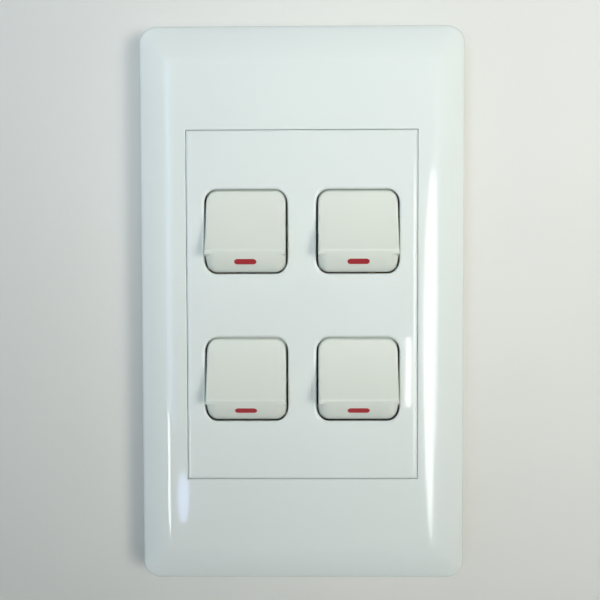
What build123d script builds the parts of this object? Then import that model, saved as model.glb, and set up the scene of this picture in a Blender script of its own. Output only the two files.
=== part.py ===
from build123d import *
from math import asin, atan2, cos, hypot, pi, radians, sin, sqrt
import os

# Four-rocker light switch for a rectangular wall box. All sizes are in millimetres.
# The pieces are modelled with the switch lying on its back: x to the right, y up the wall and
# z out of the wall, with z = 0 on the wall. Each piece is stood up as it is written out.

# Cover plate: outer size and the rounded section of its edges
COVER_WIDTH = 72.0
COVER_HEIGHT = 123.5
COVER_DEPTH = 9.0
COVER_CORNER = 4.0
COVER_CORNER_EASE = 0.05
COVER_WALL = 2.2
SIDE_CROWN_WIDTH = 7.4
SIDE_CREST_RADIUS = 6.0
SIDE_CREST_TURN = 14.0
SIDE_SLOPE_RADIUS = 16.0
SIDE_SLOPE_TURN = 34.0
END_CROWN_WIDTH = 8.75
END_CREST_RADIUS = 6.0
END_CREST_TURN = 12.0
END_SLOPE_RADIUS = 22.0
END_SLOPE_TURN = 30.0
COLLAR_WALL = 1.2
COLLAR_DROP = 2.8
CLIP_WIDTH = 6.0
CLIP_THICKNESS = 1.2
CLIP_PITCH = 52.0
BARB_REACH = 1.0
BARB_HEIGHT = 1.4
BARB_STEP = 0.5

# Centre plate
PANEL_WIDTH = 50.6
PANEL_HEIGHT = 76.6
PANEL_GAP = 0.2
PANEL_THICKNESS = 1.8
PANEL_WALL = 1.5
PANEL_EDGE = 0.35
LUG_WIDTH = 7.0

# Rockers
COLUMN_PITCH = 24.5
ROW_PITCH = 32.4
ROCKER_SIZE = 17.4
ROCKER_GAP = 0.45
ROCKER_CORNER = 2.3
ROCKER_RISE = 4.15
ROCKER_DISH = 0.5
ROCKER_EDGE = 0.5
RIDGE_BAND = 0.9
RIDGE_LEAN = 16.0
FOOT_LAND = 0.3
FOOT_INSET = 0.6
ROCKER_WALL = 1.3
HOLLOW_SIDES = 12
ROCKER_TRAVEL = 16.0
PIVOT_DEPTH = 5.0
SKIRT_DEPTH = 0.2
CHEEK_DEPTH = 2.2
CHEEK_WIDTH = 7.0
TRUNNION_RADIUS = 1.25
TRUNNION_LENGTH = 1.4
RUNNING_CLEARANCE = 0.05
STEM_SIZE = 5.2
STEM_LENGTH = 7.0
STEM_RIB = 1.0

# Red marker in the lower lip
MARKER_LENGTH = 4.8
MARKER_HEIGHT = 1.5
MARKER_DEPTH = 0.6
MARKER_DROP = 6.6
MARKER_CLEARANCE = 0.03

# Plunger and spring
PLUNGER_RADIUS = 1.7
PLUNGER_REACH = 11.75
PLUNGER_NOSE = 0.7
PLUNGER_TAPER = 2.0
PLUNGER_TOP = 2.6
SPRING_ROOM = 2.5
SPRING_WIRE = 0.4
SPRING_RADIUS = 1.35
SPRING_TURNS = 4
SPRING_STEPS = 8
SPRING_SIDES = 5

# See-saw contact bridge and its contacts
BRIDGE_WIDTH = 4.0
BRIDGE_LENGTH = 14.4
BRIDGE_THICKNESS = 0.8
BRIDGE_TILT = 8.0
FULCRUM_RADIUS = 0.4
FULCRUM_SEAT = 0.25
CHEEK_WALL = 0.8
CHEEK_RISE = 1.4
CHEEK_CLEARANCE = 0.15
TIP_CLEARANCE = 0.1
STOP_CLEARANCE = 0.1
CONTACT_SIZE = 2.4
CONTACT_THICKNESS = 0.5
CONTACT_OFFSET = 5.8
RIDGE_HEIGHT = 0.4
RIDGE_BASE = 0.3

# Terminals
STRIP_THICKNESS = 1.0
STRIP_WIDTH = 4.0
BLOCK_LENGTH = 7.0
BLOCK_WIDTH = 6.0
BLOCK_OFFSET = 7.0
WIRE_RADIUS = 1.6
WIRE_DEPTH = 6.0
WIRE_HEIGHT = 4.0
LEAD_IN_SIZE = 4.2
TERMINAL_SCREW_RADIUS = 1.45
TERMINAL_SCREW_SINK = 0.4
SCREW_BACK_OFF = 0.2
SLOT_CUT = 0.6

# Mounting yoke, folded from sheet
SHEET = 1.2
BEND_RADIUS = 0.6
YOKE_SIDE = 3.7
YOKE_END = 0.2
YOKE_LENGTH = 104.0
YOKE_TONGUE = 34.0
YOKE_CORNER = 3.0
FLANGE_HEIGHT = 5.0
WINDOW_MARGIN = 2.5
WALL_SCREW_PITCH = 84.0
WALL_SLOT_WIDTH = 4.4
WALL_SLOT_LENGTH = 6.6
EARTH_X = 11.5
EARTH_Y = -45.0
EARTH_RADIUS = 1.7
EARTH_HEAD_RADIUS = 3.0
EARTH_HEAD_HEIGHT = 2.0
EARTH_WASHER_RADIUS = 3.8
EARTH_WASHER_HEIGHT = 0.7
EARTH_TAIL = 2.4

# Rear housing
HOUSING_SIDE = 0.8
HOUSING_END = 1.3
HOUSING_DEPTH = 20.0
HOUSING_WALL = 1.6
HOUSING_FLOOR = 2.2
HOUSING_CORNER = 3.0
HOUSING_CHAMFER = 0.8
HOUSING_SEAT = 1.1
RIB = 1.5
RIB_THIN = 1.0
RIB_CLEARANCE = 0.1
ACCESS_CLEARANCE = 0.4
KEEPER_CLEARANCE = 0.15
COLUMN_HALF = 2.8
HOUSING_SCREW_INSET = 3.7
HOUSING_SCREW_RADIUS = 1.4
HOUSING_HEAD_RADIUS = 2.5
HOUSING_HEAD_HEIGHT = 1.7
SCREW_CLEARANCE = 0.2
PILOT_CLEARANCE = 0.03
PILOT_SKIN = 0.8

# Sizes and places that follow from those above: housing and yoke go with the centre plate
HOUSING_WIDTH = PANEL_WIDTH - 2 * HOUSING_SIDE
HOUSING_HEIGHT = PANEL_HEIGHT - 2 * HOUSING_END
YOKE_WIDTH = PANEL_WIDTH + 2 * YOKE_SIDE
YOKE_BODY = PANEL_HEIGHT + 2 * YOKE_END
PIVOT_Z = COVER_DEPTH - PIVOT_DEPTH
HALF_ROCKER = ROCKER_SIZE / 2
BARREL_RADIUS = hypot(HALF_ROCKER, PIVOT_DEPTH)
REST_TILT = -ROCKER_TRAVEL / 2
PANEL_BACK = COVER_DEPTH - PANEL_THICKNESS
OPENING_HALF = HALF_ROCKER + ROCKER_GAP
TRUNNION_END = OPENING_HALF + TRUNNION_LENGTH
SLOT_HALF = TRUNNION_RADIUS + RUNNING_CLEARANCE
FULCRUM_Z = PIVOT_Z - PLUNGER_REACH - TIP_CLEARANCE - BRIDGE_THICKNESS - FULCRUM_SEAT
FLOOR_Z = HOUSING_FLOOR - HOUSING_DEPTH
WIRE_Z = FLOOR_Z + WIRE_HEIGHT
INNER_X = HOUSING_WIDTH / 2 - HOUSING_WALL
INNER_Y = HOUSING_HEIGHT / 2 - HOUSING_WALL
WINDOW_X = HOUSING_WIDTH / 2 - HOUSING_SEAT
WINDOW_Y = ROW_PITCH / 2 + BARREL_RADIUS + WINDOW_MARGIN
CELL_X = COLUMN_PITCH / 2
CELL_Y = ROW_PITCH / 2
BLOCK_X = INNER_X - BLOCK_LENGTH / 2
TILT_SIN = sin(radians(BRIDGE_TILT))
TILT_COS = cos(radians(BRIDGE_TILT))
COMMON_TOP = FULCRUM_Z + FULCRUM_SEAT * TILT_COS - BRIDGE_LENGTH / 2 * TILT_SIN - STOP_CLEARANCE
RIDGE_Z = FULCRUM_Z + (
    (FULCRUM_SEAT - CONTACT_THICKNESS - STOP_CLEARANCE - CONTACT_OFFSET * TILT_SIN) / TILT_COS
)
LOAD_TOP = RIDGE_Z - RIDGE_HEIGHT - RIDGE_BASE
HOUSING_SCREW_X = HOUSING_WIDTH / 2 - HOUSING_SCREW_INSET
HOUSING_SCREW_Y = HOUSING_HEIGHT / 2 - HOUSING_SCREW_INSET
CLIP_FACE = YOKE_WIDTH / 2 + KEEPER_CLEARANCE
BARB_TOP = FLANGE_HEIGHT - SHEET

WALL = Plane(origin=(0, 0, 0), x_dir=(1, 0, 0), z_dir=(0, -1, 0))
CELLS = {
    "top_left": (-1, 1),
    "top_right": (1, 1),
    "bottom_left": (-1, -1),
    "bottom_right": (1, -1),
}


def block(x0, x1, y0, y1, z0, z1):
    """Box between two corners."""
    middle = ((x0 + x1) / 2, (y0 + y1) / 2, (z0 + z1) / 2)
    return Pos(*middle) * Box(abs(x1 - x0), abs(y1 - y0), abs(z1 - z0))


def rod(radius, x, y, z0, z1):
    """Round bar along z between two heights."""
    return Pos(x, y, (z0 + z1) / 2) * Cylinder(radius, abs(z1 - z0))


def cross_rod(radius, x0, x1, y, z):
    """Round bar along x between two places."""
    return Pos((x0 + x1) / 2, y, z) * Rot(Y=90) * Cylinder(radius, abs(x1 - x0))


# Cover plate


def crown_face(half, start, crest_radius, crest_turn, slope_radius, slope_turn, inset):
    """Section of the plate, both sides alike: flat front, crest arc, slope arc, edge arc and upright rim.
    With an inset it is the section of the hollow, whose slope runs straight into its side wall."""
    crest_last = radians(crest_turn)
    slope_last = radians(slope_turn)
    crest = (start, COVER_DEPTH - crest_radius)
    step = crest_radius - slope_radius
    slope = (crest[0] + step * sin(crest_last), crest[1] + step * cos(crest_last))
    if inset:
        slope_last = asin((half - inset - slope[0]) / (slope_radius - inset))

    def on_arc(centre, radius, angle):
        return (centre[0] + (radius - inset) * sin(angle), centre[1] + (radius - inset) * cos(angle))

    def arc(centre, radius, first, last):
        places = [on_arc(centre, radius, angle) for angle in (first, (first + last) / 2, last)]
        return ThreePointArc(*places)

    right = [
        Line((0, COVER_DEPTH - inset), on_arc(crest, crest_radius, 0)),
        arc(crest, crest_radius, 0, crest_last),
        arc(slope, slope_radius, crest_last, slope_last),
    ]
    foot = on_arc(slope, slope_radius, slope_last)
    if not inset:
        edge_radius = (half - foot[0]) / (1 - sin(slope_last))
        edge = (half - edge_radius, foot[1] - edge_radius * cos(slope_last))
        right.append(arc(edge, edge_radius, slope_last, pi / 2))
        foot = on_arc(edge, edge_radius, pi / 2)
    right.append(Polyline(foot, (half - inset, 0), (0, 0), (0, COVER_DEPTH - inset)))
    face = make_face(right)
    return face + mirror(face, Plane.YZ)


def cover_form(inset):
    """Outside of the cover plate, or with an inset the hollow inside it."""
    half_x = COVER_WIDTH / 2
    half_y = COVER_HEIGHT / 2
    side = crown_face(
        half_x,
        half_x - SIDE_CROWN_WIDTH,
        SIDE_CREST_RADIUS,
        SIDE_CREST_TURN,
        SIDE_SLOPE_RADIUS,
        SIDE_SLOPE_TURN,
        inset,
    )
    end = crown_face(
        half_y,
        half_y - END_CROWN_WIDTH,
        END_CREST_RADIUS,
        END_CREST_TURN,
        END_SLOPE_RADIUS,
        END_SLOPE_TURN,
        inset,
    )
    across = extrude(Plane.XZ * side, COVER_HEIGHT, both=True)
    along = extrude(Plane.YZ * end, COVER_WIDTH, both=True)
    # The corner arcs stand a hair outside the sides, so that they cross them cleanly
    grow = 2 * (COVER_CORNER_EASE - inset)
    outline = RectangleRounded(COVER_WIDTH + grow, COVER_HEIGHT + grow, COVER_CORNER - inset)
    return across & along & extrude(outline, COVER_DEPTH)


def cover_clip(side, y):
    """Sprung arm inside the cover, with a barb that enters a window of the yoke's flange."""
    barb_low = BARB_TOP - BARB_HEIGHT
    outline = Polyline(
        (CLIP_FACE, COVER_DEPTH - COVER_WALL),
        (CLIP_FACE, BARB_TOP),
        (CLIP_FACE - BARB_REACH, BARB_TOP - BARB_STEP),
        (CLIP_FACE, barb_low),
        (CLIP_FACE, SHEET),
        (CLIP_FACE + CLIP_THICKNESS, SHEET),
        (CLIP_FACE + CLIP_THICKNESS, COVER_DEPTH - COVER_WALL),
        close=True,
    )
    arm = extrude(Plane.XZ * make_face(outline), CLIP_WIDTH / 2, both=True)
    if side < 0:
        arm = mirror(arm, Plane.YZ)
    return Pos(0, y, 0) * arm


opening_x = PANEL_WIDTH / 2 + PANEL_GAP
opening_y = PANEL_HEIGHT / 2 + PANEL_GAP
collar = block(
    -opening_x - COLLAR_WALL,
    opening_x + COLLAR_WALL,
    -opening_y - COLLAR_WALL,
    opening_y + COLLAR_WALL,
    COVER_DEPTH - COVER_WALL - COLLAR_DROP,
    COVER_DEPTH - COVER_WALL,
)
cover_plate = cover_form(0) - cover_form(COVER_WALL) + collar
for clip_side in (-1, 1):
    for clip_y in (-CLIP_PITCH / 2, CLIP_PITCH / 2):
        cover_plate += cover_clip(clip_side, clip_y)
cover_plate -= block(-opening_x, opening_x, -opening_y, opening_y, 0, COVER_DEPTH)

# Rockers, built about their pivot


def drum(radius, half_width, corner):
    """Drum about the pivot axis with rounded rims, from which the rocker and its opening are cut."""
    section = Pos(0, radius / 2) * Rectangle(2 * half_width, radius)
    section = fillet(section.vertices().group_by(Axis.Y)[-1], corner)
    return revolve(section, Axis.X)


ridge_z = PIVOT_DEPTH + ROCKER_RISE
ridge_y = -sqrt(BARREL_RADIUS**2 - ridge_z**2)
chord = hypot(HALF_ROCKER - ridge_y, ROCKER_RISE)
lean = atan2(ROCKER_RISE, HALF_ROCKER - ridge_y)
dish_radius = (chord**2 / 4 + ROCKER_DISH**2) / (2 * ROCKER_DISH)
dish_y = (HALF_ROCKER + ridge_y) / 2 + sin(lean) * (dish_radius - ROCKER_DISH)
dish_z = PIVOT_DEPTH + ROCKER_RISE / 2 + cos(lean) * (dish_radius - ROCKER_DISH)


def under_face(inset, rear):
    """Everything behind the rocker's dished face, as a bar along x with the given rear outline."""
    radius = dish_radius + inset
    reach = 2 * asin(chord / (2 * dish_radius))

    def on_dish(angle):
        return (dish_y - radius * sin(lean + angle), dish_z - radius * cos(lean + angle))

    arc = ThreePointArc(on_dish(-reach), on_dish(0), on_dish(reach))
    outline = make_face([arc, Polyline(on_dish(reach), *rear, on_dish(-reach))])
    return extrude(Plane.YZ * outline, ROCKER_SIZE, both=True)


def tilted(y, z):
    """Place on the rocker's mid-travel section, turned to where it is at rest."""
    angle = radians(REST_TILT)
    return (y * cos(angle) - z * sin(angle), y * sin(angle) + z * cos(angle))


def marker_form(clearance):
    """Bar with rounded ends that points out of the lip where the marker sits."""
    lip_z = sqrt(BARREL_RADIUS**2 - MARKER_DROP**2)
    outline = SlotOverall(MARKER_LENGTH + 2 * clearance, MARKER_HEIGHT + 2 * clearance)
    seat = Plane(origin=(0, -MARKER_DROP, lip_z), x_dir=(1, 0, 0), z_dir=(0, -MARKER_DROP, lip_z))
    return extrude(seat * outline, 2 * MARKER_DEPTH, both=True)


far = 3 * BARREL_RADIUS
skirt_outline = [
    tilted(-far, -SKIRT_DEPTH),
    tilted(-CHEEK_WIDTH / 2 - CHEEK_DEPTH, -SKIRT_DEPTH),
    tilted(-CHEEK_WIDTH / 2, -CHEEK_DEPTH),
    tilted(CHEEK_WIDTH / 2, -CHEEK_DEPTH),
    tilted(CHEEK_WIDTH / 2 + CHEEK_DEPTH, -SKIRT_DEPTH),
    tilted(far, -SKIRT_DEPTH),
]
open_outline = [tilted(-far, -far), tilted(far, -far)]

# The ridge between face and lip keeps its whole width: under a narrow band of the lip the drum's
# rounded corners are filled out to a steep flat, which stays clear of the opening as the rocker turns
band_turn = atan2(-ridge_y, ridge_z) + RIDGE_BAND / BARREL_RADIUS
band_y = -BARREL_RADIUS * sin(band_turn)
band_z = BARREL_RADIUS * cos(band_turn)
flat_turn = radians(RIDGE_LEAN)
flat_drop = BARREL_RADIUS * cos(band_turn + flat_turn)
ridge_outline = Polyline(
    (band_y + far * sin(flat_turn), band_z + far * cos(flat_turn)),
    (band_y - flat_drop * sin(flat_turn), band_z - flat_drop * cos(flat_turn)),
    (0, 0),
    (far * sin(lean), far * cos(lean)),
    close=True,
)
ridge_ends = extrude(Plane.YZ * make_face(ridge_outline), HALF_ROCKER, both=True)
ridge_ends &= cross_rod(BARREL_RADIUS, -HALF_ROCKER, HALF_ROCKER, 0, 0)

rocker_drum = drum(BARREL_RADIUS, HALF_ROCKER, ROCKER_CORNER)
rocker = (rocker_drum + ridge_ends) & under_face(0, skirt_outline)
dished = rocker.faces().filter_by(GeomType.CYLINDER).sort_by(SortBy.AREA)[-1]
rocker = fillet(dished.edges(), ROCKER_EDGE)
# The lip ends just below the front of the panel and steps back, which leaves a deep gap under it
foot_y = FOOT_INSET - HALF_ROCKER
rocker -= block(-far, far, -far, foot_y, -far, PIVOT_DEPTH - FOOT_LAND)
hollow = Plane.YZ * RegularPolygon(BARREL_RADIUS - ROCKER_WALL, HOLLOW_SIDES)
hollow = extrude(hollow, HALF_ROCKER - ROCKER_WALL, both=True)
hollow &= block(-far, far, foot_y + ROCKER_WALL, far, -far, far)
rocker -= hollow & under_face(ROCKER_WALL, open_outline)
inside = rocker_drum & under_face(ROCKER_WALL / 2, open_outline)
half_stem = STEM_SIZE / 2
stem = Rot(X=REST_TILT) * block(-half_stem, half_stem, -half_stem, half_stem, -STEM_LENGTH, far)
stem_rib = Rot(X=REST_TILT) * block(
    -HALF_ROCKER + ROCKER_WALL / 2,
    HALF_ROCKER - ROCKER_WALL / 2,
    -STEM_RIB / 2,
    STEM_RIB / 2,
    -CHEEK_DEPTH,
    far,
)
rocker += (stem + stem_rib) & inside
for trunnion_side in (-1, 1):
    rocker += cross_rod(
        TRUNNION_RADIUS, trunnion_side * (HALF_ROCKER - ROCKER_WALL / 2), trunnion_side * TRUNNION_END, 0, 0
    )
rocker -= Rot(X=REST_TILT) * rod(
    PLUNGER_RADIUS + RUNNING_CLEARANCE, 0, 0, -STEM_LENGTH - PLUNGER_RADIUS, SPRING_ROOM
)
rocker -= marker_form(MARKER_CLEARANCE) - drum(BARREL_RADIUS - MARKER_DEPTH, HALF_ROCKER, ROCKER_CORNER)
marker = marker_form(0) & (rocker_drum - drum(BARREL_RADIUS - MARKER_DEPTH, HALF_ROCKER, ROCKER_CORNER))

# Plunger and spring, along the stem

plunger_outline = Polyline(
    (0, -PLUNGER_REACH),
    (0, -PLUNGER_TOP),
    (PLUNGER_RADIUS, -PLUNGER_TOP),
    (PLUNGER_RADIUS, PLUNGER_TAPER - PLUNGER_REACH),
    (PLUNGER_NOSE, -PLUNGER_REACH),
    close=True,
)
plunger = Rot(X=REST_TILT) * revolve(Plane.XZ * make_face(plunger_outline), Axis.Z)

spring_low = SPRING_WIRE / 2 - PLUNGER_TOP + RUNNING_CLEARANCE
spring_high = SPRING_ROOM - SPRING_WIRE / 2 - RUNNING_CLEARANCE
coil_points = []
for step in range(SPRING_TURNS * SPRING_STEPS + 1):
    angle = radians(360 * step / SPRING_STEPS)
    height = spring_low + (spring_high - spring_low) * step / (SPRING_TURNS * SPRING_STEPS)
    coil_points.append((SPRING_RADIUS * cos(angle), SPRING_RADIUS * sin(angle), height))
coil = Polyline(*coil_points)
wire = Plane(origin=coil @ 0, z_dir=coil % 0) * RegularPolygon(SPRING_WIRE / 2, SPRING_SIDES)
spring = Rot(X=REST_TILT) * sweep(wire, coil, transition=Transition.RIGHT)

# See-saw bridge, built about its fulcrum, with the moving contact under its upper end

bridge = extrude(Pos(0, 0, FULCRUM_SEAT) * Rot(Z=90) * SlotOverall(BRIDGE_LENGTH, BRIDGE_WIDTH), BRIDGE_THICKNESS)
bridge -= cross_rod(FULCRUM_RADIUS + RUNNING_CLEARANCE, -BRIDGE_WIDTH, BRIDGE_WIDTH, 0, 0)
moving_contact = Pos(0, CONTACT_OFFSET, FULCRUM_SEAT - CONTACT_THICKNESS / 2) * Box(
    CONTACT_SIZE, CONTACT_SIZE, CONTACT_THICKNESS
)
bridge = Rot(X=BRIDGE_TILT) * bridge
moving_contact = Rot(X=BRIDGE_TILT) * moving_contact

# Terminals for the right-hand column, about the middle of their cell

block_in = BLOCK_X - BLOCK_LENGTH / 2 - CELL_X
block_out = INNER_X - CELL_X


def terminal_block(y, top):
    """Brass pillar on the housing's floor: wire bore from the side, clamping screw from behind."""
    body = block(block_in, block_out, y - BLOCK_WIDTH / 2, y + BLOCK_WIDTH / 2, FLOOR_Z, top)
    body -= cross_rod(WIRE_RADIUS, block_out - WIRE_DEPTH, block_out, y, WIRE_Z)
    hole = rod(TERMINAL_SCREW_RADIUS + PILOT_CLEARANCE, (block_in + block_out) / 2, y, FLOOR_Z, WIRE_Z)
    return body - hole


def strip(x0, x1, y0, y1, top):
    """Flat tongue with its upper face at the given height."""
    return block(x0, x1, y0, y1, top - STRIP_THICKNESS, top)


half_bridge = BRIDGE_WIDTH / 2
tab_half = half_bridge + CHEEK_CLEARANCE + CHEEK_WALL
load_terminal = terminal_block(BLOCK_OFFSET, LOAD_TOP) + strip(
    -half_bridge,
    block_in,
    CONTACT_OFFSET - STRIP_WIDTH / 2,
    CONTACT_OFFSET + STRIP_WIDTH / 2,
    LOAD_TOP,
)
common_terminal = terminal_block(-BLOCK_OFFSET, COMMON_TOP)
common_terminal += strip(
    -half_bridge, block_in, -BLOCK_OFFSET - STRIP_WIDTH / 2, -BLOCK_OFFSET + STRIP_WIDTH / 2, COMMON_TOP
)
common_terminal += strip(-half_bridge, half_bridge, -BLOCK_OFFSET, FULCRUM_RADIUS, COMMON_TOP)
fulcrum_tab = block(
    -tab_half, tab_half, -FULCRUM_RADIUS, FULCRUM_RADIUS, COMMON_TOP - STRIP_THICKNESS, FULCRUM_Z + CHEEK_RISE
)
notch_half = half_bridge + CHEEK_CLEARANCE
fulcrum_tab -= block(
    -notch_half, notch_half, -FULCRUM_RADIUS, FULCRUM_RADIUS, FULCRUM_Z, FULCRUM_Z + CHEEK_RISE
)
fulcrum_tab += cross_rod(FULCRUM_RADIUS, -notch_half, notch_half, 0, FULCRUM_Z)
common_terminal += fulcrum_tab

contact_outline = Polyline(
    (-CONTACT_SIZE / 2, 0),
    (CONTACT_SIZE / 2, 0),
    (CONTACT_SIZE / 2, RIDGE_BASE),
    (0, RIDGE_BASE + RIDGE_HEIGHT),
    (-CONTACT_SIZE / 2, RIDGE_BASE),
    close=True,
)
fixed_contact = extrude(Plane.YZ * make_face(contact_outline), CONTACT_SIZE / 2, both=True)
fixed_contact = Pos(0, CONTACT_OFFSET, LOAD_TOP) * fixed_contact

# Screws


def slotted_screw(shank, head, head_height, length):
    """Screw with its head below z = 0 and its shank along +z."""
    screw = rod(head, 0, 0, -head_height, 0) + rod(shank, 0, 0, 0, length)
    return screw - block(-head, head, -SLOT_CUT / 2, SLOT_CUT / 2, -head_height, SLOT_CUT - head_height)


terminal_screw = rod(
    TERMINAL_SCREW_RADIUS,
    0,
    0,
    TERMINAL_SCREW_SINK - HOUSING_DEPTH,
    WIRE_Z - WIRE_RADIUS - SCREW_BACK_OFF,
)
terminal_screw -= block(
    -TERMINAL_SCREW_RADIUS,
    TERMINAL_SCREW_RADIUS,
    -SLOT_CUT / 2,
    SLOT_CUT / 2,
    TERMINAL_SCREW_SINK - HOUSING_DEPTH,
    TERMINAL_SCREW_SINK - HOUSING_DEPTH + SLOT_CUT,
)
terminal_screws = Compound(
    [
        Pos(side * BLOCK_X, row * CELL_Y + offset, 0) * terminal_screw
        for side, row in CELLS.values()
        for offset in (-BLOCK_OFFSET, BLOCK_OFFSET)
    ]
)
head_seat = HOUSING_HEAD_HEIGHT - HOUSING_DEPTH
screw_tip = PANEL_BACK - PILOT_SKIN
housing_screw = slotted_screw(
    HOUSING_SCREW_RADIUS, HOUSING_HEAD_RADIUS, HOUSING_HEAD_HEIGHT, screw_tip - head_seat
)
HOUSING_SCREWS = [(side * HOUSING_SCREW_X, row * HOUSING_SCREW_Y) for side, row in CELLS.values()]
housing_screws = Compound([Pos(x, y, head_seat) * housing_screw for x, y in HOUSING_SCREWS])
earth_screw = slotted_screw(EARTH_RADIUS, EARTH_HEAD_RADIUS, EARTH_HEAD_HEIGHT, EARTH_TAIL + SHEET)
earth_screw += rod(EARTH_WASHER_RADIUS, 0, 0, 0, EARTH_WASHER_HEIGHT)
earth_screw = Pos(EARTH_X, EARTH_Y, -EARTH_WASHER_HEIGHT) * earth_screw

# Centre plate

centre_plate = block(
    -PANEL_WIDTH / 2, PANEL_WIDTH / 2, -PANEL_HEIGHT / 2, PANEL_HEIGHT / 2, SHEET, COVER_DEPTH
)
centre_plate = fillet(centre_plate.faces().sort_by(Axis.Z)[-1].edges(), PANEL_EDGE)
centre_plate -= block(
    PANEL_WALL - PANEL_WIDTH / 2,
    PANEL_WIDTH / 2 - PANEL_WALL,
    PANEL_WALL - PANEL_HEIGHT / 2,
    PANEL_HEIGHT / 2 - PANEL_WALL,
    SHEET,
    PANEL_BACK,
)
lug_end = PANEL_WIDTH / 2 - PANEL_WALL / 2
for row in (-CELL_Y, CELL_Y):
    centre_plate += block(-lug_end, lug_end, row - LUG_WIDTH / 2, row + LUG_WIDTH / 2, SHEET, PANEL_BACK)
for side, row in CELLS.values():
    centre_plate += block(
        side * (HOUSING_SCREW_X - COLUMN_HALF),
        side * (PANEL_WIDTH / 2 - PANEL_WALL),
        row * (HOUSING_SCREW_Y - COLUMN_HALF),
        row * (PANEL_HEIGHT / 2 - PANEL_WALL),
        SHEET,
        PANEL_BACK,
    )
for x, y in HOUSING_SCREWS:
    centre_plate -= rod(HOUSING_SCREW_RADIUS + PILOT_CLEARANCE, x, y, SHEET, screw_tip)
opening = drum(BARREL_RADIUS + ROCKER_GAP, OPENING_HALF, ROCKER_CORNER + ROCKER_GAP)
opening &= block(-far, far, -far, far, PANEL_BACK - PIVOT_Z, far)
opening += block(-OPENING_HALF, OPENING_HALF, -LUG_WIDTH, LUG_WIDTH, SHEET - PIVOT_Z, PANEL_BACK - PIVOT_Z)
slot_end = TRUNNION_END + KEEPER_CLEARANCE
bearing = cross_rod(SLOT_HALF, -slot_end, slot_end, 0, 0)
bearing += block(-slot_end, slot_end, -SLOT_HALF, SLOT_HALF, SHEET - PIVOT_Z, 0)
for side, row in CELLS.values():
    centre_plate -= Pos(side * CELL_X, row * CELL_Y, PIVOT_Z) * (opening + bearing)

# Mounting yoke

half_yoke = YOKE_WIDTH / 2
channel_outline = Polyline(
    (-half_yoke, FLANGE_HEIGHT),
    (-half_yoke, 0),
    (half_yoke, 0),
    (half_yoke, FLANGE_HEIGHT),
    (half_yoke - SHEET, FLANGE_HEIGHT),
    (half_yoke - SHEET, SHEET),
    (SHEET - half_yoke, SHEET),
    (SHEET - half_yoke, FLANGE_HEIGHT),
    close=True,
)
channel = extrude(Plane.XZ * make_face(channel_outline), YOKE_BODY / 2, both=True)
bends = channel.edges().filter_by(Axis.Y).group_by(Axis.Z)
channel = fillet(bends[0], BEND_RADIUS + SHEET)
inner_bends = channel.edges().filter_by(Axis.Y)
inner_bends = inner_bends.filter_by(lambda e: abs(abs(e.center().X) - half_yoke + SHEET) < BEND_RADIUS)
channel = fillet(inner_bends.filter_by(lambda e: abs(e.center().Z - SHEET) < BEND_RADIUS), BEND_RADIUS)
tongue = extrude(RectangleRounded(YOKE_TONGUE, YOKE_LENGTH, YOKE_CORNER), SHEET)
mounting_yoke = channel + tongue
mounting_yoke -= block(-WINDOW_X, WINDOW_X, -WINDOW_Y, WINDOW_Y, 0, SHEET)
for end in (-1, 1):
    slot = Rot(Z=90) * SlotOverall(WALL_SLOT_LENGTH, WALL_SLOT_WIDTH)
    mounting_yoke -= extrude(Pos(0, end * WALL_SCREW_PITCH / 2) * slot, SHEET)
for x, y in HOUSING_SCREWS:
    mounting_yoke -= rod(HOUSING_SCREW_RADIUS + SCREW_CLEARANCE, x, y, 0, SHEET)
mounting_yoke -= rod(EARTH_RADIUS + PILOT_CLEARANCE, EARTH_X, EARTH_Y, 0, SHEET)
clip_half = CLIP_WIDTH / 2 + KEEPER_CLEARANCE
for clip_y in (-CLIP_PITCH / 2, CLIP_PITCH / 2):
    mounting_yoke -= block(
        -YOKE_WIDTH,
        YOKE_WIDTH,
        clip_y - clip_half,
        clip_y + clip_half,
        BARB_TOP - BARB_HEIGHT - KEEPER_CLEARANCE,
        BARB_TOP + KEEPER_CLEARANCE,
    )

# Rear housing

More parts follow.
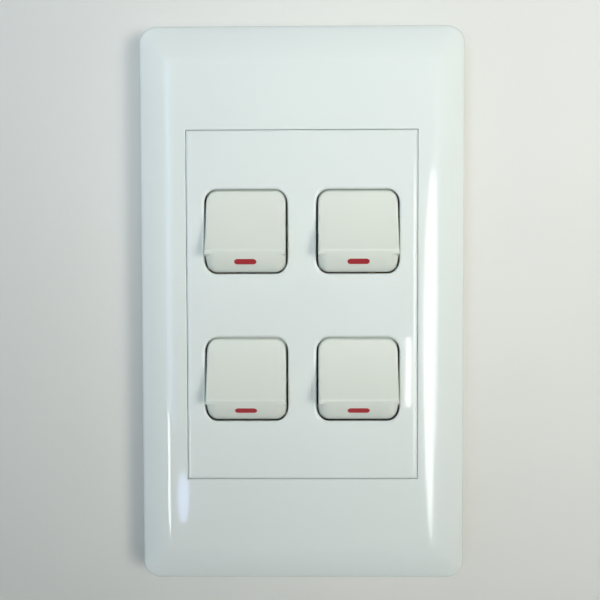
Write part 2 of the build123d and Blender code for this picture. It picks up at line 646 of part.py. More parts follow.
shell = extrude(RectangleRounded(HOUSING_WIDTH, HOUSING_HEIGHT, HOUSING_CORNER), -HOUSING_DEPTH)
shell = chamfer(shell.faces().sort_by(Axis.Z)[0].edges(), HOUSING_CHAMFER)
room = RectangleRounded(2 * INNER_X, 2 * INNER_Y, HOUSING_CORNER - HOUSING_WALL)
rear_housing = shell - extrude(room, FLOOR_Z)
rear_housing += block(-RIB / 2, RIB / 2, -INNER_Y, INNER_Y, FLOOR_Z, 0)
rear_housing += block(-INNER_X, INNER_X, -RIB / 2, RIB / 2, FLOOR_Z, 0)
keeper_z = PIVOT_Z - SLOT_HALF
keeper_half = SLOT_HALF - KEEPER_CLEARANCE
keeper_in = OPENING_HALF + RUNNING_CLEARANCE
wall_rib_in = BLOCK_X - BLOCK_LENGTH / 2 + RIB
for side, row in CELLS.values():
    cell_x = side * CELL_X
    cell_y = row * CELL_Y
    near = side * (CELL_X - keeper_in)
    outer = side * (CELL_X + keeper_in)
    wall_x = side * INNER_X
    rear_housing += block(near, 0, cell_y - keeper_half, cell_y + keeper_half, FLOOR_Z, 0)
    rear_housing += block(
        near, side * (CELL_X - TRUNNION_END), cell_y - keeper_half, cell_y + keeper_half, 0, keeper_z
    )
    rear_housing += block(outer, wall_x, cell_y - keeper_half, cell_y + keeper_half, FLOOR_Z, keeper_z)
    for offset in (-BLOCK_OFFSET, BLOCK_OFFSET):
        for face in (-1, 1):
            rib_y = cell_y + offset + face * (BLOCK_WIDTH / 2 + RIB_CLEARANCE + RIB_THIN / 2)
            rear_housing += block(
                side * wall_rib_in, wall_x, rib_y - RIB_THIN / 2, rib_y + RIB_THIN / 2, FLOOR_Z, WIRE_Z
            )
        access = 2 * (TERMINAL_SCREW_RADIUS + ACCESS_CLEARANCE)
        rear_housing -= Pos(side * BLOCK_X, cell_y + offset, FLOOR_Z - HOUSING_FLOOR / 2) * Box(
            access, access, HOUSING_FLOOR
        )
        rear_housing -= Pos((wall_x + side * HOUSING_WIDTH / 2) / 2, cell_y + offset, WIRE_Z) * Box(
            HOUSING_WALL, LEAD_IN_SIZE, LEAD_IN_SIZE
        )
    rear_housing += block(
        side * (HOUSING_SCREW_X - COLUMN_HALF),
        wall_x,
        row * (HOUSING_SCREW_Y - COLUMN_HALF),
        row * INNER_Y,
        FLOOR_Z,
        0,
    )
for x, y in HOUSING_SCREWS:
    rear_housing -= rod(HOUSING_SCREW_RADIUS + SCREW_CLEARANCE, x, y, -HOUSING_DEPTH, 0)
    rear_housing -= rod(HOUSING_HEAD_RADIUS + SCREW_CLEARANCE, x, y, -HOUSING_DEPTH, head_seat)

# Each piece is stood up against the wall and written to its own file

pieces = {
    "cover_plate": cover_plate,
    "centre_plate": centre_plate,
    "mounting_yoke": mounting_yoke,
    "rear_housing": rear_housing,
    "housing_screws": housing_screws,
    "terminal_screws": terminal_screws,
    "earth_screw": earth_screw,
}
for cell, (side, row) in CELLS.items():
    at_pivot = Pos(side * CELL_X, row * CELL_Y, PIVOT_Z)
    at_fulcrum = Pos(side * CELL_X, row * CELL_Y, FULCRUM_Z)
    at_cell = Pos(side * CELL_X, row * CELL_Y, 0)
    pieces["rocker_" + cell] = at_pivot * rocker
    pieces["marker_" + cell] = at_pivot * marker
    pieces["plunger_" + cell] = at_pivot * plunger
    pieces["spring_" + cell] = at_pivot * spring
    pieces["bridge_" + cell] = at_fulcrum * bridge
    pieces["moving_contact_" + cell] = at_fulcrum * moving_contact
    pieces["fixed_contact_" + cell] = at_cell * fixed_contact
    for name, terminal in (("common_terminal_", common_terminal), ("load_terminal_", load_terminal)):
        if side < 0:
            terminal = mirror(terminal, Plane.YZ)
        pieces[name + cell] = at_cell * terminal

os.makedirs("parts", exist_ok=True)
for name, piece in pieces.items():
    export_step(WALL * piece, "parts/" + name + ".step")
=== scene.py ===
import math

import bpy
import numpy as np
from mathutils import Matrix, Vector


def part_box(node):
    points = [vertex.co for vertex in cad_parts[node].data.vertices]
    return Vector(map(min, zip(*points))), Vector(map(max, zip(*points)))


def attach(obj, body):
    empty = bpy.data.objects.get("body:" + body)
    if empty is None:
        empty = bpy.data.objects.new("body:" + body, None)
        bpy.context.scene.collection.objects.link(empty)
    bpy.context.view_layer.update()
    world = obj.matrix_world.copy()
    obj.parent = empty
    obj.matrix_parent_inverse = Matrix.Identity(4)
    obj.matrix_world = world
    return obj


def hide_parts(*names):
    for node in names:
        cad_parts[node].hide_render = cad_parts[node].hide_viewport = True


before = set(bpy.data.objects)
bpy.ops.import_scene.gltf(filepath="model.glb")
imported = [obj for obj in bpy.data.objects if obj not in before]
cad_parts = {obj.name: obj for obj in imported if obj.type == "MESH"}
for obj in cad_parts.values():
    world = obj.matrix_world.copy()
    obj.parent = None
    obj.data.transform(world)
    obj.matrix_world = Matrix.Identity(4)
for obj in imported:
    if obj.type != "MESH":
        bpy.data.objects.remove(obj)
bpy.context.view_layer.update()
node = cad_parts

# Rear housing: the box that goes into the wall, moulded in pale grey thermoset and drawn against
# the yoke by four long screws. Its skin is matt, with the fine even grain of an eroded mould.


def noise(tree, place, size, detail):
    """Cloudy pattern between 0 and 1 over a place on the piece, with lumps of about the given size."""
    pattern = tree.nodes.new("ShaderNodeTexNoise")
    pattern.inputs["Scale"].default_value = 1 / size
    pattern.inputs["Detail"].default_value = detail
    tree.links.new(place, pattern.inputs["Vector"])
    return pattern.outputs["Fac"]


def two_tones(tree, pattern, low, high, tone, other_tone):
    """Colour that goes evenly from one tone to the other while the pattern rises from low to high."""
    tones = tree.nodes.new("ShaderNodeValToRGB")
    ends = tones.color_ramp.elements
    ends[0].position = low
    ends[0].color = (*tone, 1)
    ends[1].position = high
    ends[1].color = (*other_tone, 1)
    tree.links.new(pattern, tones.inputs["Fac"])
    return tones.outputs["Color"]


def drift(tree, pattern, low, high, start, end, smooth=False):
    """Number that goes from start to end while the pattern rises from low to high, evenly, or with a
    soft beginning and end where it is to be smooth."""
    number = tree.nodes.new("ShaderNodeMapRange")
    number.interpolation_type = "SMOOTHSTEP" if smooth else "LINEAR"
    number.inputs["From Min"].default_value = low
    number.inputs["From Max"].default_value = high
    number.inputs["To Min"].default_value = start
    number.inputs["To Max"].default_value = end
    tree.links.new(pattern, number.inputs["Value"])
    return number.outputs["Result"]


def relief(tree, pattern, depth):
    """Bump that stands out by the depth where the pattern is 1 and not at all where it is 0."""
    bump = tree.nodes.new("ShaderNodeBump")
    bump.inputs["Strength"].default_value = 1.0
    bump.inputs["Distance"].default_value = depth
    tree.links.new(pattern, bump.inputs["Height"])
    return bump


def moulded(
    name,
    tone,
    other_tone,
    roughness,
    grain_size,
    grain_depth,
    patch_size=0.018,
    specular=0.5,
    edge_round=0.0,
):
    """Moulded plastic: the colour drifts between two near tones over soft patches, the gloss drifts a
    little with it, and a fine grain stands on the surface as bump. Where an edge rounding is given, the
    shading turns over the edges with that radius."""
    patch_low, patch_high = 0.3, 0.7
    patch_detail, grain_detail = 3.0, 2.0
    smoother, rougher = 0.9 * roughness, 1.1 * roughness
    rounding_samples = 16

    material = bpy.data.materials.new(name)
    material.use_nodes = True
    tree = material.node_tree
    shader = tree.nodes["Principled BSDF"]
    shader.inputs["Specular IOR Level"].default_value = specular
    place = tree.nodes.new("ShaderNodeTexCoord").outputs["Object"]

    patches = noise(tree, place, patch_size, patch_detail)
    colour = two_tones(tree, patches, patch_low, patch_high, tone, other_tone)
    tree.links.new(colour, shader.inputs["Base Color"])
    gloss = drift(tree, patches, patch_low, patch_high, smoother, rougher)
    tree.links.new(gloss, shader.inputs["Roughness"])

    grain = relief(tree, noise(tree, place, grain_size, grain_detail), grain_depth)
    tree.links.new(grain.outputs["Normal"], shader.inputs["Normal"])
    if edge_round:
        rounding = tree.nodes.new("ShaderNodeBevel")
        rounding.samples = rounding_samples
        rounding.inputs["Radius"].default_value = edge_round
        tree.links.new(rounding.outputs["Normal"], grain.inputs["Normal"])
    return material


def dress(names, material):
    """Gives the CAD nodes of those names one material."""
    for name in names:
        node[name].data.materials.clear()
        node[name].data.materials.append(material)


housing_grey = moulded(
    "housing_grey",
    tone=(0.60, 0.61, 0.60),
    other_tone=(0.64, 0.65, 0.63),
    roughness=0.55,
    grain_size=0.0004,
    grain_depth=0.00001,
)
dress(["rear_housing"], housing_grey)

# Brass terminals with their clamping screws and the earth screw: extruded bar, sawn and drilled,
# left as it comes off the machine, so it shows faint tool lines and has dulled unevenly.


def turned_metal(name, tone, dull_tone, roughness, line_size, line_depth, line_axis):
    """Machined or rolled metal: bright and dull tones in cloudy patches, rougher where it is dull, with
    fine lines drawn out along one axis as bump."""
    cloud_size = 1 / 300
    cloud_low, cloud_high = 0.35, 0.75
    cloud_detail, line_detail = 5.0, 2.0
    smoother, rougher = 0.8 * roughness, 1.3 * roughness
    drawn_out = 0.03

    material = bpy.data.materials.new(name)
    material.use_nodes = True
    tree = material.node_tree
    shader = tree.nodes["Principled BSDF"]
    shader.inputs["Metallic"].default_value = 1.0
    place = tree.nodes.new("ShaderNodeTexCoord").outputs["Object"]

    clouds = noise(tree, place, cloud_size, cloud_detail)
    colour = two_tones(tree, clouds, cloud_low, cloud_high, tone, dull_tone)
    tree.links.new(colour, shader.inputs["Base Color"])
    gloss = drift(tree, clouds, 0.0, 1.0, smoother, rougher)
    tree.links.new(gloss, shader.inputs["Roughness"])

    stretch = tree.nodes.new("ShaderNodeMapping")
    stretch.inputs["Scale"].default_value = [drawn_out if axis == line_axis else 1.0 for axis in "XYZ"]
    tree.links.new(place, stretch.inputs["Vector"])
    lines = relief(tree, noise(tree, stretch.outputs["Vector"], line_size, line_detail), line_depth)
    tree.links.new(lines.outputs["Normal"], shader.inputs["Normal"])
    return material


cells = ("top_left", "top_right", "bottom_left", "bottom_right")
brass = turned_metal(
    "machined_brass",
    tone=(0.70, 0.52, 0.22),
    dull_tone=(0.52, 0.38, 0.17),
    roughness=0.28,
    line_size=0.0002,
    line_depth=0.000004,
    line_axis="X",
)
dress([kind + cell for cell in cells for kind in ("common_terminal_", "load_terminal_")], brass)
dress(["terminal_screws", "earth_screw"], brass)

# Contacts and see-saw bridges: bridges stamped from copper strip, with silver contact tips pressed
# on the bridges and on the load terminals.

copper = turned_metal(
    "copper_strip",
    tone=(0.72, 0.38, 0.24),
    dull_tone=(0.50, 0.25, 0.15),
    roughness=0.3,
    line_size=0.0002,
    line_depth=0.000003,
    line_axis="Z",
)
silver = turned_metal(
    "silver_tip",
    tone=(0.83, 0.82, 0.79),
    dull_tone=(0.68, 0.66, 0.62),
    roughness=0.22,
    line_size=0.0001,
    line_depth=0.000002,
    line_axis="X",
)
dress(["bridge_" + cell for cell in cells], copper)
dress([kind + cell for cell in cells for kind in ("moving_contact_", "fixed_contact_")], silver)

# Plungers and springs: natural nylon pins turned to a blunt nose, pushed out of the rockers' stems by
# coils of drawn spring wire.

nylon = moulded(
    "natural_nylon",
    tone=(0.74, 0.72, 0.66),
    other_tone=(0.70, 0.67, 0.60),
    roughness=0.4,
    grain_size=0.0003,
    grain_depth=0.000004,
)
spring_wire = turned_metal(
    "spring_wire",
    tone=(0.50, 0.50, 0.51),
    dull_tone=(0.36, 0.36, 0.37),
    roughness=0.3,
    line_size=0.0001,
    line_depth=0.000002,
    line_axis="Y",
)
dress(["plunger_" + cell for cell in cells], nylon)
dress(["spring_" + cell for cell in cells], spring_wire)

# Mounting yoke and housing screws: the yoke is pierced and folded from sheet steel, and the screws, which
# go through it into the centre plate, are headed from steel wire. Both are zinc-plated and passivated, so
# their grey has a faint crystalline mottle, with rolling lines along the yoke.

zinc = turned_metal(
    "zinc_plate",
    tone=(0.66, 0.67, 0.68),
    dull_tone=(0.50, 0.51, 0.53),
    roughness=0.36,
    line_size=0.0003,
    line_depth=0.000006,
    line_axis="Z",
)
dress(["mounting_yoke", "housing_screws"], zinc)

# Centre plate: one glossy white moulding flush with the cover, held to the yoke by the housing screws.
# Its four openings are shaped to the sweep of the rockers, and its edges are eased.

plate_finish = {
    "tone": (0.785, 0.845, 0.83),
    "other_tone": (0.77, 0.83, 0.815),
    "roughness": 0.03,
    "grain_size": 0.004,
    "grain_depth": 0.000001,
    "patch_size": 0.03,
}
panel_white = moulded("panel_white", **plate_finish, edge_round=0.0011)
dress(["centre_plate"], panel_white)

# Rockers: satin mouldings in a slightly warmer white than the plates, with a dished face and a lip that
# stands out at the foot when the switch is off. Each turns on two stub pins in slots behind the plate.

satin_white = moulded(
    "satin_white",
    tone=(0.77, 0.815, 0.75),
    other_tone=(0.755, 0.80, 0.735),
    roughness=0.36,
    grain_size=0.0006,
    grain_depth=0.000006,
    patch_size=0.012,
)
dress(["rocker_" + cell for cell in cells], satin_white)

# Markers: small red bars with rounded ends, moulded apart from the rockers and pressed into slots in
# their lips.

marker_red = moulded(
    "marker_red",
    tone=(0.46, 0.030, 0.040),
    other_tone=(0.39, 0.024, 0.030),
    roughness=0.35,
    grain_size=0.0005,
    grain_depth=0.000008,
    patch_size=0.004,
    specular=0.35,
)
dress(["marker_" + cell for cell in cells], marker_red)

# Cover plate: one glossy white moulding, hollow behind. Its front turns down to the wall over a tight
# crest, a long slope and a rounded edge, which run softly into each other at the corners. Four sprung
# arms inside clip over the yoke, so that no screw shows.

gloss_white = moulded("gloss_white", **plate_finish)
cover_low, cover_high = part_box("cover_plate")
cover_half = (cover_high.x, cover_high.z)
cover_depth = -cover_low.y
cover_corner = 0.004
cover_wall = 0.0022
panel_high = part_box("centre_plate")[1]
opening_gap = 0.0001
opening_half = (panel_high.x + opening_gap, panel_high.z + opening_gap)
opening_corner = 0.00015
opening_edge = 0.00012
collar_wall = 0.0012
collar_drop = 0.0028
mitre_blend = 0.0022
mitre_share = 1.3
side_crown = {
    "width": 0.0074,
    "crest_radius": 0.006,
    "crest_turn": math.radians(14),
    "slope_radius": 0.016,
    "slope_turn": math.radians(34),
}
end_crown = {
    "width": 0.00875,
    "crest_radius": 0.006,
    "crest_turn": math.radians(12),
    "slope_radius": 0.022,
    "slope_turn": math.radians(30),
}


def crown_drop(along, half, width, crest_radius, crest_turn, slope_radius, slope_turn):
    """How far the front has dropped at a distance from the middle: nothing on the flat, then the crest
    arc, the slope arc and the edge arc, each going on in the direction of the one before it, until the
    edge stands upright."""
    crest_x = half - width
    crest_end = crest_x + crest_radius * math.sin(crest_turn)
    step = crest_radius - slope_radius
    slope_x = crest_x + step * math.sin(crest_turn)
    slope_y = step * math.cos(crest_turn) - crest_radius
    slope_end = slope_x + slope_radius * math.sin(slope_turn)
    edge_radius = (half - slope_end) / (1 - math.sin(slope_turn))
    edge_y = slope_y + (slope_radius - edge_radius) * math.cos(slope_turn)

    def under_arc(x, y, radius):
        """Depth of an arc about (x, y): its middle's depth less the root of the radius squared minus the
        distance squared."""
        return -y - np.sqrt(np.maximum(radius**2 - (along - x) ** 2, 0))

    return np.select(
        [along <= crest_x, along <= crest_end, along <= slope_end],
        [
            np.zeros_like(along),
            under_arc(crest_x, -crest_radius, crest_radius),
            under_arc(slope_x, slope_y, slope_radius),
        ],
        under_arc(half - edge_radius, edge_y, edge_radius),
    )


def front_drop(x, z):
    """Drop of the whole front: the larger of the drops of the side crown and of the end crown, plus a
    share that grows where the two are nearly alike, so that the mitre is soft. Within the corner's arc
    it is at least the drop at the same distance from the rim on the straight sides."""
    # Stand for nothing where something is divided by them
    no_blend, no_reach = 1e-9, 1e-12

    side = crown_drop(np.abs(x), cover_half[0], **side_crown)
    end = crown_drop(np.abs(z), cover_half[1], **end_crown)
    larger = np.maximum(side, end)
    blend = np.maximum(np.minimum(mitre_blend, mitre_share * larger), no_blend)
    drop = larger + np.maximum(blend - np.abs(side - end), 0) ** 2 / (4 * blend)

    past_x = np.maximum(np.abs(x) - cover_half[0] + cover_corner, 0)
    past_z = np.maximum(np.abs(z) - cover_half[1] + cover_corner, 0)
    reach = np.minimum(np.hypot(past_x, past_z), cover_corner)
    share = past_z**2 / np.maximum(past_x**2 + past_z**2, no_reach)
    round_side = crown_drop(cover_half[0] - cover_corner + reach, cover_half[0], **side_crown)
    round_end = crown_drop(cover_half[1] - cover_corner + reach, cover_half[1], **end_crown)
    round_drop = np.maximum(drop, (1 - share) * round_side + share * round_end)
    return np.where((past_x > 0) & (past_z > 0), round_drop, drop)


def loop_signs(long_steps, short_steps, arc_steps):
    """One turn round a rounded rectangle: for each point the share of the half width and half height at
    its corner centre, and the outward direction there. The points of the straight stretches go by the
    sine of an even turn, so they are finer towards the ends."""
    quarter = np.linspace(0, math.pi / 2, arc_steps + 1)
    rise = np.sin(np.linspace(-math.pi / 2, math.pi / 2, long_steps + 1))[1:-1]
    run = np.sin(np.linspace(-math.pi / 2, math.pi / 2, short_steps + 1))[1:-1]
    one = np.ones_like
    share_x = np.concatenate(
        [one(rise), one(quarter), -run, -one(quarter), -one(rise), -one(quarter), run, one(quarter)]
    )
    share_z = np.concatenate(
        [rise, one(quarter), one(run), one(quarter), -rise, -one(quarter), -one(run), -one(quarter)]
    )
    turn = np.concatenate(
        [
            0 * rise,
            quarter,
            0 * run + math.pi / 2,
            quarter + math.pi / 2,
            0 * rise + math.pi,
            quarter + math.pi,
            0 * run + 1.5 * math.pi,
            quarter + 1.5 * math.pi,
        ]
    )
    return share_x, share_z, np.cos(turn), np.sin(turn)


def between(low, high, share):
    """Sizes from low to high at the given shares of the way."""
    return low + (high - low) * share


# Rows of the shell, from the collar's foot up the opening, over the front, down the rim and back inside:
# how far each lies from the opening (0) to the rim (1), and how it stands there. The rows lie closest
# over the last of the front, where it turns down to the rim
edge_rows = 4
front_rows = 64
rim_rows = 24
inside_rows = 12
rim_share = 0.1
edge_turn = np.linspace(0, math.pi / 2, edge_rows + 1)[:-1]
rim_turn = np.linspace(0, math.pi / 2, rim_rows)[1:]
front = np.concatenate(
    [np.linspace(0, 1 - rim_share, front_rows), 1 - rim_share * (1 - np.sin(rim_turn))]
)
inside = np.linspace(1, 0, inside_rows)
inner_half = [half - cover_wall for half in cover_half]
collar_half = [half + collar_wall for half in opening_half]
row_half = [
    np.concatenate(
        [
            [opening_half[axis]],
            opening_half[axis] + opening_edge * (1 - np.cos(edge_turn)),
            between(opening_half[axis] + opening_edge, cover_half[axis], front),
            [cover_half[axis], inner_half[axis]],
            between(collar_half[axis], inner_half[axis], inside),
            [collar_half[axis]],
        ]
    )
    for axis in (0, 1)
]
row_corner = np.concatenate(
    [
        [opening_corner],
        np.full(len(edge_turn), opening_corner),
        between(opening_corner, cover_corner, front),
        [cover_corner, cover_corner - cover_wall],
        between(opening_corner, cover_corner - cover_wall, inside),
        [opening_corner],
    ]
)
share_x, share_z, out_x, out_z = loop_signs(long_steps=72, short_steps=48, arc_steps=12)
shell_x = share_x * (row_half[0] - row_corner)[:, None] + out_x * row_corner[:, None]
shell_z = share_z * (row_half[1] - row_corner)[:, None] + out_z * row_corner[:, None]
shell_y = -cover_depth + front_drop(shell_x, shell_z)
first_front = 1 + len(edge_turn)
first_back = first_front + len(front)
first_inside = first_back + 2
collar_foot = -cover_depth + cover_wall + collar_drop
shell_y[0] = collar_foot
shell_y[1:first_front] += opening_edge * (1 - np.sin(edge_turn))[:, None]
shell_y[first_back:first_inside] = 0
shell_y[first_inside:-1] += cover_wall
shell_y[-1] = collar_foot
shell_points = np.stack([shell_x, shell_y, shell_z], axis=-1).reshape(-1, 3)


def closed_grid(rows, columns):
    """Quads of a grid whose rows and columns both run round into themselves."""
    row, column = np.meshgrid(np.arange(rows), np.arange(columns), indexing="ij")
    next_row = (row + 1) % rows
    next_column = (column + 1) % columns
    corners = [row * columns + column, row * columns + next_column]
    corners += [next_row * columns + next_column, next_row * columns + column]
    return np.stack(corners, axis=-1).reshape(-1, 4)


# The sprung arms, as an outline across the wall (x) and out of it (y)
clip_pitch = 0.052
clip_width = 0.006
clip_thickness = 0.0012
clip_gap = 0.00015
clip_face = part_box("mounting_yoke")[1].x + clip_gap
clip_root = cover_wall - cover_depth
clip_end = -0.0012
barb_front, barb_tip, barb_back = -0.0038, -0.0033, -0.0024
barb_reach = 0.001
clip_outline = np.array(
    [
        (clip_face, clip_root),
        (clip_face, barb_front),
        (clip_face - barb_reach, barb_tip),
        (clip_face, barb_back),
        (clip_face, clip_end),
        (clip_face + clip_thickness, clip_end),
        (clip_face + clip_thickness, clip_root),
    ]
)


def clip_arm(side, middle):
    """Sprung arm with its barb: the outline, on its side of the plate, carried along z over the arm's
    width."""
    across, out = side * clip_outline[:, 0], clip_outline[:, 1]
    ends = (middle - clip_width / 2, middle + clip_width / 2)
    return np.concatenate([np.column_stack([across, out, np.full_like(out, end)]) for end in ends])


def band(count):
    """Quads between two loops of as many points each, the second loop numbered on from the first."""
    here = np.arange(count)
    after = np.roll(here, -1)
    return np.column_stack([here, after, count + after, count + here])


outline_order = np.arange(len(clip_outline))
arm_caps = np.stack([outline_order[::-1], len(clip_outline) + outline_order])
arm_sides = band(len(clip_outline))
cover_points = [shell_points]
cover_faces = closed_grid(*shell_x.shape).tolist()
for arm_side in (-1, 1):
    for arm_middle in (-clip_pitch / 2, clip_pitch / 2):
        first = sum(len(points) for points in cover_points)
        cover_points.append(clip_arm(arm_side, arm_middle))
        for faces in (arm_caps, arm_sides):
            cover_faces += (first + faces[:, ::arm_side]).tolist()
sharp_turn = math.radians(40)
cover_mesh = bpy.data.meshes.new("cover")
cover_mesh.from_pydata(np.concatenate(cover_points).tolist(), [], cover_faces)
cover_mesh.polygons.foreach_set("use_smooth", np.ones(len(cover_mesh.polygons), dtype=bool))
cover_mesh.set_sharp_from_angle(angle=sharp_turn)
cover_mesh.materials.append(gloss_white)
cover = bpy.data.objects.new("cover", cover_mesh)
bpy.context.scene.collection.objects.link(cover)
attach(cover, "switch_body")
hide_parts("cover_plate")

# Wall: a plain painted surface that the plate lies on, with an opening for the wall box behind it. It
# is seen from the room only, so that the housing can be looked at from behind.

wall_half = (0.8, 0.8)
wall_gap = 0.0015
box_margin = 0.003
box_half = (inner_half[0] - box_margin, inner_half[1] - box_margin)
corner_x = np.array([-1, 1, 1, -1])
corner_z = np.array([-1, -1, 1, 1])


def wall_loop(half):
    """Corners of a rectangle in the wall's plane: the half width and half height times their signs."""
    return np.column_stack([half[0] * corner_x, 0 * corner_x + wall_gap, half[1] * corner_z])


wall_points = np.concatenate([wall_loop(wall_half), wall_loop(box_half)])
wall_mesh = bpy.data.meshes.new("wall")
wall_mesh.from_pydata(wall_points.tolist(), [], band(len(corner_x)).tolist())
wall = bpy.data.objects.new("wall", wall_mesh)
bpy.context.scene.collection.objects.link(wall)
paint = moulded(
    "wall_paint",
    tone=(0.735, 0.745, 0.72),
    other_tone=(0.72, 0.73, 0.705),
    roughness=0.6,
    grain_size=0.002,
    grain_depth=0.00003,
    patch_size=0.05,
    specular=0.3,
)
paint_tree = paint.node_tree


def combined(tree, operation, one, other):
    """One number from two, by the named operation, such as their sum, product or maximum."""
    result = tree.nodes.new("ShaderNodeMath")
    result.operation = operation
    tree.links.new(one, result.inputs[0])
    tree.links.new(other, result.inputs[1])
    return result.outputs["Value"]


def seen_rays(tree):
    """1 where something is looked at, straight, in a gloss or through something clear, and 0 where it
    only lights other things: the largest of the ray's three marks for those."""
    ray = tree.nodes.new("ShaderNodeLightPath").outputs
    straight_or_gloss = combined(tree, "MAXIMUM", ray["Is Camera Ray"], ray["Is Glossy Ray"])
    return combined(tree, "MAXIMUM", straight_or_gloss, ray["Is Transmission Ray"])


def either(tree, share, one, other):
    """One shader where the share is 0, the other where it is 1, and their mix between."""
    mix = tree.nodes.new("ShaderNodeMixShader")
    tree.links.new(share, mix.inputs["Fac"])
    tree.links.new(one, mix.inputs[1])
    tree.links.new(other, mix.inputs[2])
    return mix.outputs["Shader"]


# Far from the plate, where the lamps don't reach, the wall is seen at one plain level, which lights
# nothing
near_end, far_start = 0.09, 0.15
far_level = (0.62, 0.63, 0.61)
wall_place = paint_tree.nodes.new("ShaderNodeTexCoord")
from_plate = paint_tree.nodes.new("ShaderNodeVectorMath")
from_plate.operation = "LENGTH"
paint_tree.links.new(wall_place.outputs["Object"], from_plate.inputs[0])
far_share = drift(paint_tree, from_plate.outputs["Value"], near_end, far_start, 0.0, 1.0, smooth=True)
far_seen = combined(paint_tree, "MULTIPLY", far_share, seen_rays(paint_tree))
near_paint = paint_tree.nodes["Principled BSDF"].outputs["BSDF"]
far_paint = paint_tree.nodes.new("ShaderNodeEmission")
far_paint.inputs["Color"].default_value = (*far_level, 1)
near_or_far = either(paint_tree, far_seen, near_paint, far_paint.outputs["Emission"])

from_behind = paint_tree.nodes.new("ShaderNodeNewGeometry").outputs["Backfacing"]
clear = paint_tree.nodes.new("ShaderNodeBsdfTransparent").outputs["BSDF"]
one_sided = either(paint_tree, from_behind, near_or_far, clear)
paint_tree.links.new(one_sided, paint_tree.nodes["Material Output"].inputs["Surface"])
wall_mesh.materials.append(paint)

# Light: soft daylight from the front on both sides, warmer and stronger from the right, where a window
# stands, and a pale room on the left. Panes and a doorway show only in the gloss of the plates.


def daylight(name, place, aim, radius, spread, power, colour):
    """Round lamp that fades from the middle of its cone to the edge and isn't seen in reflections."""
    data = bpy.data.lights.new(name, "SPOT")
    data.energy = power
    data.color = colour
    data.shadow_soft_size = radius
    data.spot_size = math.radians(spread)
    data.spot_blend = 1.0
    lamp = bpy.data.objects.new(name, data)
    bpy.context.scene.collection.objects.link(lamp)
    facing = (Vector(aim) - Vector(place)).to_track_quat("-Z", "Y")
    lamp.matrix_world = Matrix.Translation(place) @ facing.to_matrix().to_4x4()
    lamp.visible_glossy = False


warm_white = (1.0, 0.965, 0.885)
cool_white = (0.71, 0.85, 1.0)
daylight(
    "front",
    place=(0.156, -0.886, 0.08),
    aim=(0.08, 0.0, 0.09),
    radius=0.12,
    spread=30,
    power=13.1,
    colour=warm_white,
)
daylight(
    "window",
    place=(0.554, -0.709, 0.06),
    aim=(0.07, 0.0, 0.055),
    radius=0.19,
    spread=37,
    power=12.0,
    colour=warm_white,
)
daylight(
    "low_right",
    place=(0.45, -0.779, -0.15),
    aim=(0.08, 0.0, -0.02),
    radius=0.16,
    spread=34,
    power=8.3,
    colour=warm_white,
)
daylight(
    "front_left",
    place=(-0.308, -0.846, 0.15),
    aim=(-0.05, 0.0, 0.12),
    radius=0.12,
    spread=26,
    power=9.2,
    colour=cool_white,
)


def glint(name, shape, x, z, width, height, radiance, colour=(1, 1, 1)):
    """Flat lamp in a plane in front of the wall, facing the wall, which is seen in reflections and
    lights nothing else. Its power is pi times its area times the given radiance."""
    plane_y = -1.0
    data = bpy.data.lights.new(name, "AREA")
    data.shape = shape
    data.size = width
    data.size_y = height
    area = width * height * (math.pi / 4 if shape == "ELLIPSE" else 1)
    data.energy = math.pi * area * radiance
    data.color = colour
    lamp = bpy.data.objects.new(name, data)
    bpy.context.scene.collection.objects.link(lamp)
    lamp.matrix_world = Matrix.Translation((x, plane_y, z)) @ Matrix.Rotation(math.pi / 2, 4, "X")
    lamp.visible_diffuse = False


doorway_white = (0.92, 0.97, 1.0)
wall_blue = (0.35, 0.60, 1.0)
glass_blue = (0.5, 0.6, 1.0)
glint("pane", "ELLIPSE", x=0.164, z=-0.11, width=0.028, height=0.50, radiance=8.5)
glint("next_pane", "ELLIPSE", x=0.22, z=-0.11, width=0.12, height=0.50, radiance=7.0)
glint("far_pane", "ELLIPSE", x=0.37, z=-0.055, width=0.40, height=0.39, radiance=6.0)
glint("small_pane", "RECTANGLE", x=0.1305, z=-0.134, width=0.0085, height=0.091, radiance=9.5)
glint("window_wall", "ELLIPSE", x=0.45, z=-0.10, width=0.60, height=0.80, radiance=1.0)
glint(
    "doorway", "RECTANGLE", x=-0.54, z=-0.29, width=0.24, height=0.17, radiance=9.0, colour=doorway_white
)
glint(
    "door_wall", "RECTANGLE", x=-0.43, z=0.05, width=0.50, height=0.50, radiance=2.2, colour=wall_blue
)
glint(
    "door_glass", "ELLIPSE", x=-0.1685, z=-0.3, width=0.016, height=0.07, radiance=7.2, colour=glass_blue
)

room = bpy.data.worlds.new("room")
room.use_nodes = True
room_tree = room.node_tree
direction = room_tree.nodes.new("ShaderNodeTexCoord")
split = room_tree.nodes.new("ShaderNodeSeparateXYZ")
room_tree.links.new(direction.outputs["Generated"], split.inputs["Vector"])


def side_glow(axis, dark_end, bright_end, strength):
    """Brightness that rises smoothly from nothing to its strength between two ends along one axis of
    direction."""
    return drift(room_tree, split.outputs[axis], dark_end, bright_end, 0.0, strength, smooth=True)


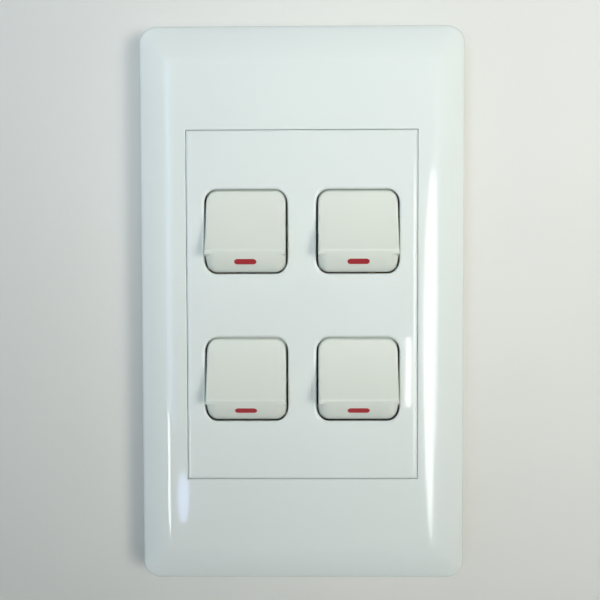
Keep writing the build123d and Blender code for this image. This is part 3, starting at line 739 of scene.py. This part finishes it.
past_wall = {"axis": "Y", "dark_end": 0.0, "bright_end": 0.1}
round_about = side_glow("Y", dark_end=-0.97, bright_end=-0.80, strength=0.12)
left_of_room = side_glow("X", dark_end=0.1, bright_end=-0.6, strength=0.36)
left_wall = side_glow("X", dark_end=-0.90, bright_end=-0.97, strength=0.7)
behind_wall = side_glow(**past_wall, strength=0.62)
in_front = combined(room_tree, "ADD", round_about, left_of_room)
left_or_behind = combined(room_tree, "ADD", left_wall, behind_wall)
room_level = combined(room_tree, "ADD", in_front, left_or_behind)
room_light = room_tree.nodes["Background"]
room_tree.links.new(room_level, room_light.inputs["Strength"])
front_tint = (0.78, 0.88, 0.97)
behind_tint = (0.95, 0.97, 1.0)
behind_share = side_glow(**past_wall, strength=1.0)
room_tint = two_tones(room_tree, behind_share, 0.0, 1.0, front_tint, behind_tint)
room_tree.links.new(room_tint, room_light.inputs["Color"])

# What the camera sees past the wall's edge is a plain pale ground that lights nothing. Behind the wall,
# metal shows that ground too
ground_level = (0.74, 0.75, 0.75)
ground = room_tree.nodes.new("ShaderNodeBackground")
ground.inputs["Color"].default_value = (*ground_level, 1)
seen_straight = room_tree.nodes.new("ShaderNodeLightPath").outputs["Is Camera Ray"]
seen_behind = combined(room_tree, "MULTIPLY", behind_share, seen_rays(room_tree))
seen = combined(room_tree, "MAXIMUM", seen_behind, seen_straight)
lit_or_seen = either(room_tree, seen, room_light.outputs["Background"], ground.outputs["Background"])
room_tree.links.new(lit_or_seen, room_tree.nodes["World Output"].inputs["Surface"])
bpy.context.scene.world = room
bpy.context.scene.view_settings.view_transform = "Standard"

# Camera: a plain lens almost square on to the plate, a hand's breadth or two away and slightly above its
# middle, rolled by a hair.

aim = Vector((-0.00046, -0.009, 0.00121))
distance = 0.1982
azimuth = math.radians(0.684)
elevation = math.radians(2.265)
roll = math.radians(-0.176)
level = math.cos(elevation)
forward = Vector((-math.sin(azimuth) * level, math.cos(azimuth) * level, -math.sin(elevation)))
right = Vector((math.cos(azimuth), math.sin(azimuth), 0.0))
up = right.cross(forward)
rolled_right = right * math.cos(roll) + up * math.sin(roll)
rolled_up = up * math.cos(roll) - right * math.sin(roll)
camera_data = bpy.data.cameras.new("camera")
camera_data.lens = 54.22
camera_data.sensor_width = 36.0
camera_data.clip_start = 0.01
camera = bpy.data.objects.new("camera", camera_data)
bpy.context.scene.collection.objects.link(camera)
camera_turn = Matrix((rolled_right, rolled_up, -forward)).transposed().to_4x4()
camera.matrix_world = Matrix.Translation(aim - forward * distance) @ camera_turn
bpy.context.scene.camera = camera
